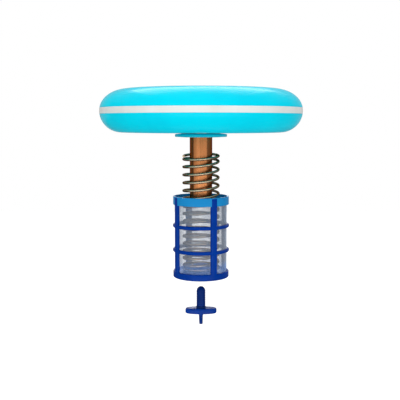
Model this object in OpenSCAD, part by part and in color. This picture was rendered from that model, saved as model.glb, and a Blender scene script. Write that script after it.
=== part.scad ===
// Floating pool ionizer with a solar float, a copper anode, a coil cathode and a mesh basket.
// The basket, its spring and the thumb screw are drawn down off the anode, in the order they fit.
// Millimetres, +Z up. The origin is the centre of the float, on the plane of its white band.

/* [Float] */
// Outer diameter of the float
float_d = 255; // [225:1:300]
// Height of the float between its flat faces
float_h = 53.8; // [48:0.1:66]
// Width of the rounded shoulder of the upper shell
upper_shoulder = 34; // [26:1:40]
// Width of the rounded shoulder of the lower shell
lower_shoulder = 27; // [24:1:40]
// Wall of the two moulded shells
shell_wall = 2.6; // [2:0.1:3.4]
// Height of the white band round the middle
band_h = 7.6; // [6:0.1:12]
// Depth of the band behind the widest point of the float
band_depth = 4.2; // [3.6:0.1:6]
// Thickness of the joint rims of the shells, behind the band
rim_t = 2.4; // [1.8:0.1:4]
// Thickness of the seal squeezed between the joint rims
seal_t = 1; // [0.6:0.1:2]

/* [Solar panel] */
// Diameter of the round solar panel
panel_d = 150; // [120:1:170]
// Height by which the window stands over the top of the float
window_proud = 0.5; // [0.2:0.1:1.2]
// Thickness of the clear window
window_t = 2.4; // [1.6:0.1:3.2]
// Width of the window's skirt, which stands on the board
skirt_w = 3.5; // [2.5:0.5:6]
// Height of the room for the cells under the window
cell_room = 1.2; // [1:0.1:2]
// Thickness of the board that carries the cells
board_t = 1.6; // [1.2:0.1:2.4]
// Width of the sealing bead round the window
bead_w = 2.5; // [1.6:0.1:4]
// Rows of cell strips
cell_rows = 9; // [5:2:13]
// Gap between neighbouring strips
cell_gap = 1.2; // [0.8:0.1:2]
// Bare margin between the strips and the skirt
cell_margin = 3; // [2:0.5:6]
// Thickness of a cell strip
cell_t = 0.5; // [0.3:0.05:0.6]
// Width of a tinned ribbon over the cells
ribbon_w = 1.6; // [1:0.1:2.4]
// Thickness of a ribbon
ribbon_t = 0.25; // [0.15:0.05:0.3]
// Diameter of the hole in the pocket for the leads
lead_hole_d = 26; // [22:1:36]

/* [Seat and electrodes] */
// Diameter of the seat that the basket's mouth fits over
seat_d = 66; // [60:1:80]
// Thickness of the seat
seat_t = 3.5; // [3:0.1:5]
// Diameter of the neck between the float and the seat
neck_d = 32; // [30:1:34]
// Height of the neck
neck_h = 2.2; // [2:0.1:6]
// Diameter of the copper anode
anode_d = 28.6; // [24:0.1:32]
// Length of the copper anode
anode_len = 85; // [75:1:110]
// Chamfer on the ends of the anode
anode_chamfer = 0.8; // [0.4:0.1:1.5]
// Diameter of the stud that carries the anode
stud_d = 8; // [6:0.5:10]
// Length of the stud inside the anode
stud_reach = 18; // [12:1:24]
// Diameter of the hub inside the lower shell
hub_d = 30; // [24:1:32]
// Height of the hubs over the inner face of the lower shell
hub_h = 3.4; // [2:0.2:6]
// Radial width of the steel contact ring under the seat
contact_w = 6.4; // [5:0.2:8]
// Thickness of the contact ring
contact_t = 1.1; // [0.9:0.1:1.6]
// Height by which the contact ring stands out of its groove
contact_proud = 0.4; // [0.2:0.1:0.6]
// Diameter of the contact ring's own stud
contact_stud_d = 4; // [3:0.5:5]
// Diameter of an insulated lead
lead_d = 2.4; // [2:0.1:3]

/* [Spring] */
// Outside diameter of the coil cathode
spring_od = 47.7; // [42:0.1:54]
// Diameter of its wire
wire_d = 2.8; // [1.8:0.1:2.8]
// Free length of the spring
spring_len = 149.9; // [135:0.1:165]
// Turns from end to end
spring_turns = 16.25; // [14:0.25:17.5]
// Turns wound close at each end
end_turns = 0.9; // [0.6:0.05:1.2]
// Rise of a close turn
end_pitch = 3.2; // [3.2:0.1:4]
// Turns over which the pitch opens from close to full
opening_turns = 0.3; // [0.2:0.05:0.6]
// Slant of the upper turns of the loose spring, in degrees
spring_slant = 2.8; // [0:0.1:4]
// Sag of the middle turns of the loose spring under their own weight
spring_sag = 2; // [0:0.1:3]

/* [Basket] */
// Wall of the basket's mouth round the seat
mouth_wall = 2.35; // [1.6:0.05:3]
// Radial thickness of the basket's cage, without what stands out of it
cage_wall = 2.6; // [2:0.1:3.5]
// Height by which the ribs stand in over the rims, where they carry the mesh
rib_inset = 0.2; // [0.15:0.05:0.4]
// Height of the mouth rim
mouth_h = 10.6; // [8:0.1:14]
// Thickness of the ledge in the mouth that meets the seat
ledge_t = 2; // [1.5:0.1:3]
// Width of that ledge
ledge_w = 2.5; // [1.5:0.1:4]
// Height of the lower rim
foot_h = 8; // [7.2:0.1:12]
// Number of upright ribs
rib_count = 4; // [3:1:8]
// Width of a rib
rib_w = 8.3; // [5:0.1:12]
// Turn of the first rib from the front, in degrees
rib_turn = 28; // [0:1:89]
// Number of hoops between the rims
hoop_count = 2; // [1:1:3]
// Height of a hoop
hoop_h = 4.6; // [3:0.1:6]
// Height by which the hoops stand out of the rims
hoop_proud = 0.55; // [0.4:0.05:1.2]
// Depth of the first hoop's middle under the mouth
first_hoop = 37.7; // [30:0.1:42]
// Step from hoop to hoop
hoop_step = 31.4; // [20:0.1:36]
// Thickness of the basket's floor
floor_t = 4; // [3.4:0.1:6]
// Depth of the hollow under the floor, inside the lower rim
foot_hollow = 3; // [2:0.1:5]
// Diameter of the tube on the floor that meets the anode's end
boss_d = 20; // [17:0.5:24]
// Height of that tube over the floor
boss_h = 8.5; // [6:0.1:14]
// Number of drain holes in the floor
drain_count = 8; // [4:1:10]
// Diameter of a drain hole
drain_d = 5; // [3:0.5:6]
// Thickness of the mesh sleeve
mesh_t = 0.8; // [0.6:0.1:1.5]

/* [Thumb screw] */
// Diameter of the screw over its thread
screw_d = 11.5; // [9:0.1:12.4]
// Length of the screw from its wing to its tip
screw_len = 28.4; // [24:0.1:36]
// Height of the rounded tip
tip_h = 6.6; // [4:0.1:8]
// Length of the wing
wing_l = 40.5; // [32:0.5:50]
// Width of the wing
wing_w = 17.5; // [15:0.5:24]
// Thickness of the wing at its middle
wing_t = 7.1; // [4.6:0.1:8]
// Radius of the wing's rounded underside
wing_dome_r = 400; // [120:1:800]
// Thickness of the finger tab
tab_t = 4.6; // [3:0.1:6]
// Width of the finger tab at the wing
tab_w = 17; // [12:0.5:20]
// Depth of the finger tab under the wing
tab_h = 14.8; // [10:0.1:20]
// Section of the sealing ring at the root of the screw
o_ring_d = 1.8; // [1.6:0.1:2.6]

/* [Drawn apart] */
// Distance that the basket is drawn down from the seat
basket_drop = 78.4; // [60:0.1:90]
// Distance that the thumb screw is drawn down from the basket
screw_drop = 44.8; // [34:0.1:60]

/* [Clearances] */
// Gap between pieces that slide or turn on each other
slide_gap = 0.3; // [0.2:0.05:0.4]
// Gap round curved faces of pieces that stay together
fixed_gap = 0.1; // [0.05:0.01:0.15]

/* [Hidden] */
$fn = 96;

// Length by which a cut runs past the face it opens
cut = 1;
// Depth by which joined features of one piece run into each other
bond = 0.6;

// Float
float_r = float_d / 2;
top_z = float_h / 2;
base_z = -float_h / 2;
band_in = float_r - band_depth;
rim_out = band_in - fixed_gap;
rim_in = rim_out - rim_t;
web_z = band_h / 2 + shell_wall;

// Solar panel, from the window down to the pocket that holds it
panel_r = panel_d / 2;
window_z = top_z + window_proud;
glass_z = window_z - window_t;
board_z = glass_z - cell_room;
pocket_z = board_z - board_t;
pocket_r = panel_r + bead_w + fixed_gap;
cell_reach = panel_r - skirt_w - cell_margin;
row_share = 0.94;
cell_step = (2 * cell_reach * row_share + cell_gap) / cell_rows;
cell_w = cell_step - cell_gap;

// Seat, anode and the inner clamping stacks
seat_top = base_z - neck_h;
seat_z = seat_top - seat_t;
seat_r = seat_d / 2;
anode_r = anode_d / 2;
anode_end = seat_z - anode_len;
hub_z = base_z + shell_wall + hub_h;
stud_r = stud_d / 2;
seal_pad_t = 2;
washer_t = 1.6;
lug_t = 0.8;
stud_washer_z = hub_z + seal_pad_t;
stud_lug_z = stud_washer_z + washer_t;
stud_nut_z = stud_lug_z + lug_t;
nut_height = 0.8;
nut_flats = 1.7;
washer_reach = 1.15;
stud_nut_h = nut_height * stud_d;
stud_end = 2;
washer_r = washer_reach * stud_d;
contact_r = (spring_od - wire_d) / 2;
contact_stud_r = contact_stud_d / 2;
contact_nut_h = nut_height * contact_stud_d;
contact_hub_r = washer_reach * contact_stud_d;
contact_lug_z = hub_z + seal_pad_t;
contact_nut_z = contact_lug_z + lug_t;
post_wall = 2.5;
post_r = contact_stud_r + post_wall;
barrel_r = lead_d / 2 + lug_t;
barrel_len = 7;
lug_neck = 4;
eye_reach = 0.85;

// Basket, first as seated and then as drawn down
mouth_r = seat_r + slide_gap;
cage_r = mouth_r + mouth_wall;
cage_in = cage_r - cage_wall;
rim_bore = cage_in + rib_inset;
basket_h = seat_t + anode_len + boss_h + floor_t + foot_hollow;
mouth_z = seat_z - slide_gap + seat_t - basket_drop;
foot_z = mouth_z - basket_h;
under_z = foot_z + foot_hollow;
floor_z = under_z + floor_t;
ledge_z = mouth_z - seat_t;
sleeve_top = ledge_z - ledge_t - slide_gap;
sleeve_r = cage_in - fixed_gap;
rib_out = cage_r + hoop_proud / 2;
hoop_r = hoop_h / 2;
drain_r = (boss_d / 2 + sleeve_r - mesh_t) / 2;

// Thumb screw and the hole that it passes through
screw_r = screw_d / 2;
screw_hole_r = screw_r + 2 * slide_gap;
wing_z = under_z - slide_gap - screw_drop;
screw_tip = wing_z + screw_len;
screw_reach = screw_len - slide_gap - floor_t - boss_h - slide_gap;
socket_room = 3.4;
socket_depth = screw_reach + socket_room;
groove_share = 0.8;
groove_r = screw_r - groove_share * o_ring_d;
ring_mid_r = groove_r + slide_gap + o_ring_d / 2;
ring_seat_r = ring_mid_r + o_ring_d / 2 + slide_gap;
ring_seat_h = o_ring_d + 2 * slide_gap;
oval_power = 0.8;

// Spring
coil_r = (spring_od - wire_d) / 2;
coil_foot = floor_z + fixed_gap + wire_d / 2;
coil_rise = spring_len - wire_d;
full_pitch = (coil_rise - (2 * end_turns + opening_turns) * end_pitch)
    / (spring_turns - 2 * end_turns - opening_turns);
rings_per_turn = 16;
wire_sides = 6;
last_angle = 180;

// Leads, as points between the lug barrels and the board
positive_route = [
    [stud_d + lug_neck + barrel_len, 0, stud_lug_z + barrel_r],
    [24, 0, stud_lug_z + barrel_r], [30, 0, -12], [32, 0, -4], [28, 0, 6], [18, 0, 13],
    [8, 0, 16], [6, 0, 18], [6, 0, pocket_z],
];
negative_route = [
    [contact_stud_d + lug_neck + barrel_len, contact_r, contact_lug_z + barrel_r],
    [20, contact_r, contact_lug_z + barrel_r], [25, 22, -12], [25, 20, -4], [18, 14, 6], [6, 8, 13],
    [-4, 3, 16], [-6, 0, 18], [-6, 0, pocket_z],
];
lead_sides = 8;

// Half section of the float above its middle, drawn in by a wall, with a rounded shoulder
module float_section(shoulder, wall) {
    polygon(concat(
        [[0, 0]],
        [for (a = [0 : 6 : 90]) [
            float_r - shoulder + (shoulder - wall) * cos(a),
            (float_h / 2 - wall) * sin(a)
        ]],
        [[0, float_h / 2 - wall]]
    ));
}

// Rectangle of a half section, between two radii and two heights
module box_section(r_in, r_out, z_low, z_high) {
    translate([r_in, z_low]) square([r_out - r_in, z_high - z_low]);
}

// Upright ring of rectangular section
module tube(r_in, r_out, z_low, z_high) {
    rotate_extrude() box_section(r_in, r_out, z_low, z_high);
}

// Wall of the float above the band, with the rim that meets the other shell
module shell_section(shoulder) {
    difference() {
        intersection() {
            float_section(shoulder, 0);
            box_section(0, float_r, band_h / 2, top_z);
        }
        intersection() {
            float_section(shoulder, shell_wall);
            box_section(0, float_r, web_z, top_z);
        }
        box_section(0, rim_in, 0, web_z + bond);
    }
    box_section(rim_in, rim_out, seal_t / 2, web_z);
}

module upper_shell() color("#06DCF7") rotate_extrude() {
    difference() {
        shell_section(upper_shoulder);
        box_section(0, pocket_r, base_z, top_z + cut);
    }
    box_section(lead_hole_d / 2, pocket_r + shell_wall, pocket_z - shell_wall, pocket_z);
    box_section(pocket_r, pocket_r + shell_wall, pocket_z - shell_wall, top_z - shell_wall / 2);
}

module lower_shell() color("#02D4F5") difference() {
    union() {
        rotate_extrude() mirror([0, 1]) shell_section(lower_shoulder);
        tube(0, hub_d / 2, base_z + shell_wall / 2, hub_z);
        translate([0, contact_r, 0]) tube(0, contact_hub_r, base_z + shell_wall / 2, hub_z);
    }
    tube(0, stud_r + slide_gap, base_z - cut, hub_z + cut);
    translate([0, contact_r, 0]) tube(0, contact_stud_r + slide_gap, base_z - cut, hub_z + cut);
}

module trim_band() color("#F2F3F1") rotate_extrude() intersection() {
    union() {
        float_section(upper_shoulder, 0);
        mirror([0, 1]) float_section(lower_shoulder, 0);
    }
    box_section(band_in, float_r, -band_h / 2, band_h / 2);
}

module shell_seal() color("#303438") tube(rim_in, rim_out, -seal_t / 2, seal_t / 2);

module panel_window() color("#DCE8F0", 0.35) {
    tube(0, panel_r, glass_z, window_z);
    tube(panel_r - skirt_w, panel_r, board_z, glass_z);
}

// Strips on both sides of the middle, each as long as the round board lets it be
module solar_cells() color("#12204E") for (row = [0 : cell_rows - 1]) {
    low = (row - cell_rows / 2) * cell_step + cell_gap / 2;
    far = max(abs(low), abs(low + cell_w));
    strip = sqrt(pow(cell_reach, 2) - pow(far, 2)) - cell_gap / 2;
    for (side = [0, 1]) mirror([side, 0, 0])
        translate([cell_gap / 2, low, board_z]) cube([strip, cell_w, cell_t]);
}

module cell_ribbons() color("#C8CCD0") {
    run = cell_rows * cell_step - cell_gap;
    inner = sqrt(pow(cell_reach, 2) - pow(run / 2, 2)) / 3;
    for (place = [-2, -1, 1, 2])
        translate([place * inner - ribbon_w / 2, -run / 2, board_z + cell_t])
            cube([ribbon_w, run, ribbon_t]);
}

module panel_board() color("#1C2A33") tube(0, panel_r, pocket_z, board_z);

module panel_bead() color("#E9ECEC")
    tube(panel_r + fixed_gap, pocket_r - fixed_gap, pocket_z, top_z - slide_gap);

// Small axial diode under the board, on two bent legs
module blocking_diode() color("#22252A") {
    body_r = 1.4;
    body_len = 5;
    leg_r = 0.4;
    leg_span = 8;
    translate([0, -7, pocket_z - body_r - slide_gap]) {
        rotate([0, 90, 0]) cylinder(r = body_r, h = body_len, center = true);
        rotate([0, 90, 0]) cylinder(r = leg_r, h = leg_span, center = true);
        for (side = [-1, 1]) translate([side * leg_span / 2, 0, -leg_r])
            cylinder(r = leg_r, h = body_r + slide_gap + leg_r);
    }
}

// Round tube swept along points: each ring stands square to the way through its point
function way(path, i) = let (
        a = path[max(i - 1, 0)],
        b = path[min(i + 1, len(path) - 1)]
    ) (b - a) / norm(b - a);
function side_of(dir, up) = let (c = cross(up, dir)) c / norm(c);
function ring_at(path, i, radius, sides, up) = let (
        dir = way(path, i),
        u = side_of(dir, up),
        v = cross(dir, u)
    ) [for (k = [0 : sides - 1]) let (a = 360 * k / sides) path[i] + radius * (u * cos(a) + v * sin(a))];

module swept_tube(path, radius, sides, up) {
    last = len(path) - 1;
    points = [for (i = [0 : last]) each ring_at(path, i, radius, sides, up)];
    walls = [for (i = [0 : last - 1], k = [0 : sides - 1]) let (
            a = i * sides + k,
            b = i * sides + (k + 1) % sides
        ) each [[a, a + sides, b], [b, a + sides, b + sides]]];
    first_cap = [for (k = [1 : sides - 2]) [0, k, k + 1]];
    last_cap = [for (k = [1 : sides - 2]) [last * sides, last * sides + k + 1, last * sides + k]];
    polyhedron(points, concat(walls, first_cap, last_cap));
}

module positive_lead() color("#B3201C")
    swept_tube(positive_route, lead_d / 2, lead_sides, [0, 1, 0]);

module negative_lead() color("#1B1C1E")
    swept_tube(negative_route, lead_d / 2, lead_sides, [0, 1, 0]);

// Ring terminal with a crimped barrel, pointing along +X
module ring_lug(eye_d) difference() {
    union() {
        cylinder(r = eye_reach * eye_d, h = lug_t);
        translate([0, -barrel_r, 0]) cube([eye_d + lug_neck + bond, 2 * barrel_r, lug_t]);
        translate([eye_d + lug_neck, 0, barrel_r]) rotate([0, 90, 0]) cylinder(r = barrel_r, h = barrel_len);
    }
    translate([0, 0, -cut]) cylinder(r = eye_d / 2 + fixed_gap, h = lug_t + 2 * cut);
}

module positive_lug() color("#C9B27A") translate([0, 0, stud_lug_z]) ring_lug(stud_d);

module negative_lug() color("#C9CDD1") translate([0, contact_r, contact_lug_z]) ring_lug(contact_stud_d);

module anode_stud() color("#B9BEC4")
    tube(0, stud_r, seat_z - stud_reach, stud_nut_z + stud_nut_h + stud_end);

// Hexagon nut, by its width across the flats
module hex_nut(flats, bore_r, height) difference() {
    cylinder(d = flats / cos(30), h = height, $fn = 6);
    translate([0, 0, -cut]) cylinder(r = bore_r, h = height + 2 * cut);
}

module stud_nut() color("#C2C7CC")
    translate([0, 0, stud_nut_z]) hex_nut(nut_flats * stud_d, stud_r + fixed_gap, stud_nut_h);

module stud_washer() color("#C2C7CC")
    tube(stud_r + fixed_gap, washer_r, stud_washer_z, stud_lug_z);

module stud_seal() color("#2B2E31") tube(stud_r + fixed_gap, washer_r, hub_z, stud_washer_z);

module seat_flange() color("#12B4C8") difference() {
    union() {
        tube(0, seat_r, seat_z, seat_top);
        tube(0, neck_d / 2, seat_top - bond, base_z);
        translate([0, contact_r, 0]) tube(0, post_r, seat_top - bond, base_z);
    }
    tube(0, stud_r + slide_gap, seat_z - cut, base_z + cut);
    translate([0, contact_r, 0]) tube(0, contact_stud_r + slide_gap, seat_z - cut, base_z + cut);
    tube(
        contact_r - contact_w / 2 - fixed_gap, contact_r + contact_w / 2 + fixed_gap,
        seat_z - cut, seat_z + contact_t - contact_proud
    );
}

module contact_ring() color("#BFC4C9") {
    back_z = seat_z + contact_t - contact_proud;
    tube(contact_r - contact_w / 2, contact_r + contact_w / 2, seat_z - contact_proud, back_z);
    translate([0, contact_r, 0])
        tube(0, contact_stud_r, back_z - contact_t / 2, contact_nut_z + contact_nut_h + stud_end);
}

module contact_nut() color("#C2C7CC") translate([0, contact_r, contact_nut_z])
    hex_nut(nut_flats * contact_stud_d, contact_stud_r + fixed_gap, contact_nut_h);

module contact_seal() color("#2B2E31") translate([0, contact_r, 0])
    tube(contact_stud_r + fixed_gap, contact_hub_r, hub_z, contact_lug_z);

// Turned bar with a chamfer at each end, a stud hole on top and a threaded socket below
module copper_anode() color("#C07A45") rotate_extrude() difference() {
    polygon([
        [0, seat_z], [anode_r - anode_chamfer, seat_z], [anode_r, seat_z - anode_chamfer],
        [anode_r, anode_end + anode_chamfer], [anode_r - anode_chamfer, anode_end], [0, anode_end],
    ]);
    box_section(0, stud_r + fixed_gap, seat_z - stud_reach - stud_end, seat_z + cut);
    box_section(0, screw_r + slide_gap, anode_end - cut, anode_end + socket_depth);
}

// Hoop with a half-round outer edge
module hoop(mid_z) rotate_extrude() polygon(concat(
    [[rim_bore, mid_z + hoop_r], [rim_bore, mid_z - hoop_r]],
    [for (a = [-90 : 15 : 90]) [cage_r + hoop_proud - hoop_r + hoop_r * cos(a), mid_z + hoop_r * sin(a)]]
));

module rib() {
    rise = mouth_z - mouth_h + bond - (foot_z + foot_h - bond);
    translate([0, 0, foot_z + foot_h - bond]) intersection() {
        tube(cage_in, rib_out, 0, rise);
        translate([-rib_w / 2, -rib_out - cut, 0]) cube([rib_w, rib_out + cut, rise]);
    }
}

module basket_cage() color("#0E3AA6") difference() {
    union() {
        rotate_extrude() {
            box_section(mouth_r, cage_r, ledge_z - bond, mouth_z);
            box_section(mouth_r - ledge_w, cage_r, ledge_z - ledge_t, ledge_z);
            box_section(rim_bore, cage_r, mouth_z - mouth_h, ledge_z - ledge_t + bond);
        }
        for (i = [0 : hoop_count - 1]) hoop(mouth_z - first_hoop - i * hoop_step);
        for (i = [0 : rib_count - 1]) rotate(rib_turn + i * 360 / rib_count) rib();
        tube(rim_bore, cage_r, foot_z, foot_z + foot_h);
        tube(screw_hole_r, rim_bore + bond, under_z, floor_z);
        tube(screw_hole_r, boss_d / 2, floor_z - bond, floor_z + boss_h);
    }
    tube(0, ring_seat_r, under_z - cut, under_z + ring_seat_h);
    for (i = [0 : drain_count - 1]) rotate((i + 1 / 2) * 360 / drain_count)
        translate([drain_r, 0, under_z - cut]) cylinder(d = drain_d, h = floor_t + 2 * cut);
}

module mesh_sleeve() color("#D8DEE6", 0.5)
    tube(sleeve_r - mesh_t, sleeve_r, floor_z + fixed_gap, sleeve_top);

// Rise gained while the pitch opens, place along the free turns, and height of the wire at a turn
function opened(turn) = turn < opening_turns
    ? pow(max(turn, 0), 2) / (2 * opening_turns)
    : turn - opening_turns / 2;
function free_share(turn) = min(max((turn - end_turns) / (spring_turns - 2 * end_turns), 0), 1);
function coil_height(turn) = end_pitch * turn + (full_pitch - end_pitch)
    * (opened(turn - end_turns) - opened(turn - (spring_turns - end_turns - opening_turns)))
    - 4 * spring_sag * free_share(turn) * (1 - free_share(turn));

function coil_point(turn) = let (
        a = last_angle - 360 * (spring_turns - turn),
        slant = tan(spring_slant) * turn / spring_turns,
        x = coil_r * cos(a)
    ) [x, coil_r * sin(a), coil_foot + coil_height(turn) + slant * x];

coil_steps = spring_turns * rings_per_turn;
coil_path = [for (i = [0 : coil_steps]) coil_point(i / rings_per_turn)];

// Least gap between the wire and its own neighbouring turns
coil_gap = min([
    for (i = [0 : coil_steps - rings_per_turn / 2], j = [i + rings_per_turn / 2 : coil_steps])
        if (j - i < 2 * rings_per_turn) norm(coil_path[i] - coil_path[j]),
]) - wire_d;

module coil_cathode() {
    echo(coil_gap = coil_gap);
    color("#8B8F8E") swept_tube(coil_path, wire_d / 2, wire_sides, [0, 0, 1]);
}

module screw_ring() color("#16181B") translate([0, 0, wing_z + slide_gap + o_ring_d / 2])
    rotate_extrude() translate([ring_mid_r, 0]) circle(d = o_ring_d, $fn = 32);

// Round-ended outline of the wing
function oval(length, width) = [for (a = [0 : 6 : 354]) let (c = cos(a), s = sin(a))
    [length / 2 * sign(c) * pow(abs(c), oval_power), width / 2 * sign(s) * pow(abs(s), oval_power)]];

// Outline of the finger tab, hanging down from the wing
function tab_outline() = concat(
    [[tab_w / 2, wing_t / 2], [-tab_w / 2, wing_t / 2]],
    [for (a = [180 : 10 : 360]) [tab_w / 2 * cos(a), tab_h * sin(a)]]
);

module thumb_screw() color("#123A94") {
    rotate_extrude() {
        box_section(0, groove_r, wing_z - wing_t / 2, wing_z + ring_seat_h + bond);
        box_section(0, screw_r, wing_z + ring_seat_h, screw_tip - tip_h);
        polygon(concat(
            [[0, screw_tip - tip_h]],
            [for (a = [0 : 7.5 : 90]) [screw_r * cos(a), screw_tip - tip_h + tip_h * sin(a)]]
        ));
    }
    intersection() {
        translate([0, 0, wing_z - wing_t]) linear_extrude(wing_t) polygon(oval(wing_l, wing_w));
        translate([0, 0, wing_z - wing_t + wing_dome_r]) sphere(wing_dome_r);
    }
    translate([-tab_t / 2, 0, wing_z - wing_t]) rotate([90, 0, 90])
        linear_extrude(tab_t) polygon(tab_outline());
}

upper_shell();
lower_shell();
trim_band();
shell_seal();
panel_window();
solar_cells();
cell_ribbons();
panel_board();
panel_bead();
blocking_diode();
positive_lead();
negative_lead();
positive_lug();
negative_lug();
anode_stud();
stud_nut();
stud_washer();
stud_seal();
seat_flange();
contact_ring();
contact_nut();
contact_seal();
copper_anode();
basket_cage();
mesh_sleeve();
coil_cathode();
screw_ring();
thumb_screw();
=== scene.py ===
import math

import bmesh
import bpy
import numpy as np
from bpy.props import FloatProperty, FloatVectorProperty, IntProperty, PointerProperty
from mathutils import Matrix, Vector


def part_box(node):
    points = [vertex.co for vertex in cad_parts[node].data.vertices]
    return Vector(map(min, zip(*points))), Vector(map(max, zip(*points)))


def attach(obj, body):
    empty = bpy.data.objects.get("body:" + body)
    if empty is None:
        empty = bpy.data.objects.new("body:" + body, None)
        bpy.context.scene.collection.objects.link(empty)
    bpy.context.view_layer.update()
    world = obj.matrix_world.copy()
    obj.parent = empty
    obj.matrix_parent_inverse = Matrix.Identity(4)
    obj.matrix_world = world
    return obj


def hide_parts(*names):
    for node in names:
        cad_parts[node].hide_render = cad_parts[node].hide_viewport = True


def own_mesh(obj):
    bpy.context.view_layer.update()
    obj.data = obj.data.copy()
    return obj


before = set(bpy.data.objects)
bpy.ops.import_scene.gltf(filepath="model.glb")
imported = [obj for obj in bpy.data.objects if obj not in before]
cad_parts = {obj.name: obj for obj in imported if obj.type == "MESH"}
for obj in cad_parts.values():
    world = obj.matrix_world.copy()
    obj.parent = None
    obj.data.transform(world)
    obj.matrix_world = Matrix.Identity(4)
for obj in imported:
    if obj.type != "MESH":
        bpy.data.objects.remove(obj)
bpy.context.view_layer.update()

bl_info = {
    "name": "Floating pool ionizer",
    "version": (1, 0, 0),
    "blender": (4, 5, 0),
    "location": "View3D > Sidebar > Ionizer",
    "description": "Dresses the packed frame of a floating pool ionizer",
    "category": "Object",
}

# Shapes are worked out in millimetres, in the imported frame, and put into meshes in metres
MM = 0.001

WHITE = (1.0, 1.0, 1.0, 1.0)


def low(node):
    """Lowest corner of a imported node, in millimetres."""
    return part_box(node)[0] / MM


def high(node):
    """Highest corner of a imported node, in millimetres."""
    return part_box(node)[1] / MM


def centre(node):
    """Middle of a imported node's box, in millimetres."""
    return (low(node) + high(node)) / 2


def float_half():
    """Half the height of the float, in millimetres."""
    return (high("upper_shell").z - low("lower_shell").z) / 2


def tone(code):
    """Linear colour with alpha, from a six-digit screen colour."""
    parts = [int(code[i:i + 2], 16) / 255 for i in (0, 2, 4)]
    return tuple(c / 12.92 if c <= 0.04045 else ((c + 0.055) / 1.055) ** 2.4 for c in parts) + (1.0,)


def length(label, about, millimetres):
    """Property for a length, whose default is given in millimetres."""
    return FloatProperty(name=label, description=about, default=millimetres * MM, unit="LENGTH", precision=5)


def colour(label, about, code):
    """Property for a colour, whose default is given as a screen colour."""
    return FloatVectorProperty(name=label, description=about, default=tone(code), size=4,
                               min=0.0, max=1.0, subtype="COLOR")


class IonizerSizes(bpy.types.PropertyGroup):
    """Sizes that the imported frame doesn't give by itself."""
    float_steps: IntProperty(name="Float steps", description="Steps round the float", default=192, min=48)
    turned_steps: IntProperty(name="Turned steps", description="Steps round smaller turned pieces",
                              default=128, min=32)
    upper_shoulder: length("Upper shoulder", "Width of the upper shell's rounded shoulder", 34.0)
    lower_shoulder: length("Lower shoulder", "Width of the lower shell's rounded shoulder", 27.0)
    shell_wall: length("Shell wall", "Wall of the two moulded shells", 2.6)
    rim_inside: length("Joint rim inside", "Inner radius of the joint rims", 120.8)
    rim_outside: length("Joint rim outside", "Outer radius of the joint rims", 123.2)
    pocket_radius: length("Pocket radius", "Radius of the panel's pocket", 77.6)
    lead_hole: length("Lead hole", "Radius of the hole for the leads in the pocket", 13.0)
    hub_radius: length("Hub radius", "Radius of the hub inside the lower shell", 15.0)
    stud_bore: length("Stud bore", "Radius of the bore round the anode's stud", 4.3)
    contact_bore: length("Contact bore", "Radius of the bore round the contact's stud", 2.3)
    neck_radius: length("Neck radius", "Radius of the neck over the seat", 16.0)
    wire: length("Spring wire", "Diameter of the spring's wire", 3.4)
    coil_radius: length("Coil radius", "Radius of the spring to the middle of its wire", 22.15)
    coil_rise: length("Coil rise", "Rise of the spring between the middles of its ends", 146.9)
    coil_turns: FloatProperty(name="Coil turns", description="Turns of the spring", default=16.25)
    coil_sag: length("Coil sag", "Sag of the loose spring's middle turns", 2.0)
    coil_slant: FloatProperty(name="Coil slant", description="Sideways slant of the spring's upper turns",
                              default=math.radians(2.8), subtype="ANGLE")
    coil_lean: FloatProperty(name="Coil lean", description="Forward lean of the spring's upper turns",
                             default=math.radians(4.3), subtype="ANGLE")
    rib_width: length("Rib width", "Width of an upright rib of the basket", 8.3)
    hoop_height: length("Hoop height", "Height of a hoop of the basket", 4.6)
    net_pitch: length("Net pitch", "Distance between neighbouring threads of the net", 1.28)
    net_thread: length("Net thread", "Diameter of a thread of the net", 0.32)
    thread_pitch: length("Screw pitch", "Pitch of the thumb screw", 3.0)
    thread_depth: length("Screw thread depth", "Depth of the thumb screw's thread", 0.3)


class IonizerColours(bpy.types.PropertyGroup):
    """Colours of the finishes."""
    shell: colour("Shell", "Moulded shells of the float", "00E1F8")
    shell_deep: colour("Shell shade", "Deeper tone in the shells", "00D7F2")
    band: colour("Band", "Band round the float", "E9EEED")
    blue: colour("Blue", "Basket", "003A9B")
    blue_deep: colour("Blue shade", "Deeper tone in the basket's blue", "00318A")
    # The mouth and floor colours are painted light: the mouth's azure is a painted highlight, and the floor's brighter
    # blue is painted light against its shade.
    mouth: colour("Mouth", "Thin wall of the basket's mouth", "1E8ACA")
    floor: colour("Floor", "Floor inside the basket", "1E66CC")
    screw: colour("Screw blue", "Thumb screw", "083A98")
    screw_deep: colour("Screw shade", "Deeper tone in the thumb screw's blue", "063184")
    copper: colour("Copper", "Bright copper", "CC8654")
    copper_dark: colour("Copper streaks", "Darker streaks in the copper", "8A5028")
    # The steel's warm tone is partly the wire's own tone and partly a painted warm reflection of the copper bar.
    steel: colour("Steel", "Stainless wire of the spring", "C2AA8C")
    steel_dark: colour("Steel streaks", "Darker drawing lines in the steel", "7A7063")
    nylon: colour("Net", "Nylon net", "BCC6D6")
    cell: colour("Cell", "Silicon cells", "142456")


def setting(name):
    """A count or an angle of the size settings."""
    return getattr(bpy.context.scene.ionizer_sizes, name)


def size(name):
    """A length of the size settings, in millimetres."""
    return setting(name) / MM


def paint(name):
    """A colour of the colour settings."""
    return tuple(getattr(bpy.context.scene.ionizer_colours, name))


# Forms: each is a pair of corner list and face list, in millimetres

def bearings(count):
    """Angles of equal steps round a full turn."""
    return [2 * math.pi * k / count for k in range(count)]


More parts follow.
